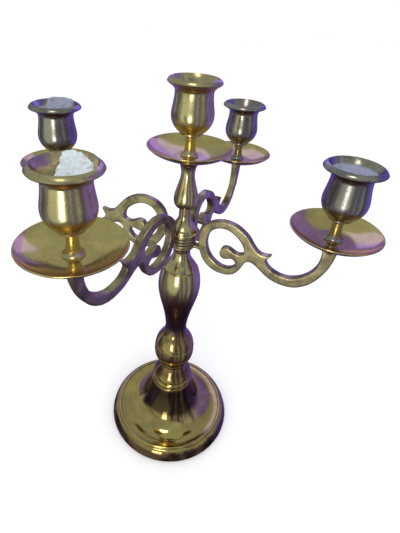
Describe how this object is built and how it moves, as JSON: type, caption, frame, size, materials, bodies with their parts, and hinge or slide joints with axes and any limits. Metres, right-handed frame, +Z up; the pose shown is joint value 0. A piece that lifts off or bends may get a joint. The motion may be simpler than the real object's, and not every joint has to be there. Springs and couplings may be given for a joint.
{
  "type": "tabletop candelabra",
  "caption": "Tabletop candelabra: turned brass column on a round dished foot, four scrolled swivel arms and a raised centre light, each with a drip pan and a screw-on candle cup.",
  "frame": {"origin": "on the column's axis, in the plane of the foot", "axes": "+Z up along the column; +X and -Y are the sides nearer the right and the front of the reference view"},
  "size_m": [0.2261, 0.2032, 0.3328],
  "materials": {
    "base_brass": "polished, darkened with age",
    "stem_brass": "polished, lightly tarnished",
    "arm_brass": "cast, satin",
    "pan_brass": "spun and polished",
    "cup_brass": "polished, speckled tarnish",
    "steel": "zinc plated"
  },
  "bodies": {
    "root": {"base": "base_brass", "waist_ring": "base_brass", "knop": "base_brass", "baluster": "stem_brass", "hub_collar": "stem_brass", "upper_stem": "stem_brass", "tie_rod": "steel", "base_washer": "steel", "base_nut": "steel", "centre_stud": "steel"},
    "front_left_arm": {"front_left_arm": "arm_brass", "front_left_stud": "steel"},
    "back_left_arm": {"back_left_arm": "arm_brass", "back_left_stud": "steel"},
    "back_right_arm": {"back_right_arm": "arm_brass", "back_right_stud": "steel"},
    "front_right_arm": {"front_right_arm": "arm_brass", "front_right_stud": "steel"},
    "centre_pan": {"centre_pan": "pan_brass"},
    "centre_cup": {"centre_cup": "cup_brass"},
    "front_left_pan": {"front_left_pan": "pan_brass"},
    "front_left_cup": {"front_left_cup": "cup_brass"},
    "back_left_pan": {"back_left_pan": "pan_brass"},
    "back_left_cup": {"back_left_cup": "cup_brass"},
    "back_right_pan": {"back_right_pan": "pan_brass"},
    "back_right_cup": {"back_right_cup": "cup_brass"},
    "front_right_pan": {"front_right_pan": "pan_brass"},
    "front_right_cup": {"front_right_cup": "cup_brass"}
  },
  "joints": [
    {"name": "front_left_arm_swivel", "type": "hinge", "parent": "root", "child": "front_left_arm", "pos_m": [0, 0, 0.21835], "axis": [0, 0, 1], "range_deg": [-18, 33]},
    {"name": "back_left_arm_swivel", "type": "hinge", "parent": "root", "child": "back_left_arm", "pos_m": [0, 0, 0.21565], "axis": [0, 0, 1], "range_deg": [-31, 18]},
    {"name": "back_right_arm_swivel", "type": "hinge", "parent": "root", "child": "back_right_arm", "pos_m": [0, 0, 0.21295], "axis": [0, 0, 1], "range_deg": [-24, 31]},
    {"name": "front_right_arm_swivel", "type": "hinge", "parent": "root", "child": "front_right_arm", "pos_m": [0, 0, 0.21025], "axis": [0, 0, 1], "range_deg": [-33, 24]},
    {"name": "centre_cup_unscrew", "type": "hinge", "parent": "root", "child": "centre_pan", "pos_m": [0, 0, 0.28], "axis": [0, 0, 1], "range_deg": [0, 1800]},
    {"name": "centre_cup_rise", "type": "slide", "parent": "centre_pan", "child": "centre_cup", "axis": [0, 0, 1], "range_m": [0, 0.0035]},
    {"name": "front_left_cup_unscrew", "type": "hinge", "parent": "front_left_arm", "child": "front_left_pan", "pos_m": [-0.08736, -0.06004, 0.25225], "axis": [0, 0, 1], "range_deg": [0, 1800]},
    {"name": "front_left_cup_rise", "type": "slide", "parent": "front_left_pan", "child": "front_left_cup", "axis": [0, 0, 1], "range_m": [0, 0.0035]},
    {"name": "back_left_cup_unscrew", "type": "hinge", "parent": "back_left_arm", "child": "back_left_pan", "pos_m": [-0.08238, 0.06671, 0.24955], "axis": [0, 0, 1], "range_deg": [0, 1800]},
    {"name": "back_left_cup_rise", "type": "slide", "parent": "back_left_pan", "child": "back_left_cup", "axis": [0, 0, 1], "range_m": [0, 0.0035]},
    {"name": "back_right_cup_unscrew", "type": "hinge", "parent": "back_right_arm", "child": "back_right_pan", "pos_m": [0.07877, 0.07093, 0.24685], "axis": [0, 0, 1], "range_deg": [0, 1800]},
    {"name": "back_right_cup_rise", "type": "slide", "parent": "back_right_pan", "child": "back_right_cup", "axis": [0, 0, 1], "range_m": [0, 0.0035]},
    {"name": "front_right_cup_unscrew", "type": "hinge", "parent": "front_right_arm", "child": "front_right_pan", "pos_m": [0.07752, -0.07229, 0.24415], "axis": [0, 0, 1], "range_deg": [0, 1800]},
    {"name": "front_right_cup_rise", "type": "slide", "parent": "front_right_pan", "child": "front_right_cup", "axis": [0, 0, 1], "range_m": [0, 0.0035]}
  ],
  "couplings": [
    {"joint": "centre_cup_rise", "follows": "centre_cup_unscrew", "m_per_rad": 0.00011141},
    {"joint": "front_left_cup_rise", "follows": "front_left_cup_unscrew", "m_per_rad": 0.00011141},
    {"joint": "back_left_cup_rise", "follows": "back_left_cup_unscrew", "m_per_rad": 0.00011141},
    {"joint": "back_right_cup_rise", "follows": "back_right_cup_unscrew", "m_per_rad": 0.00011141},
    {"joint": "front_right_cup_rise", "follows": "front_right_cup_unscrew", "m_per_rad": 0.00011141}
  ]
}
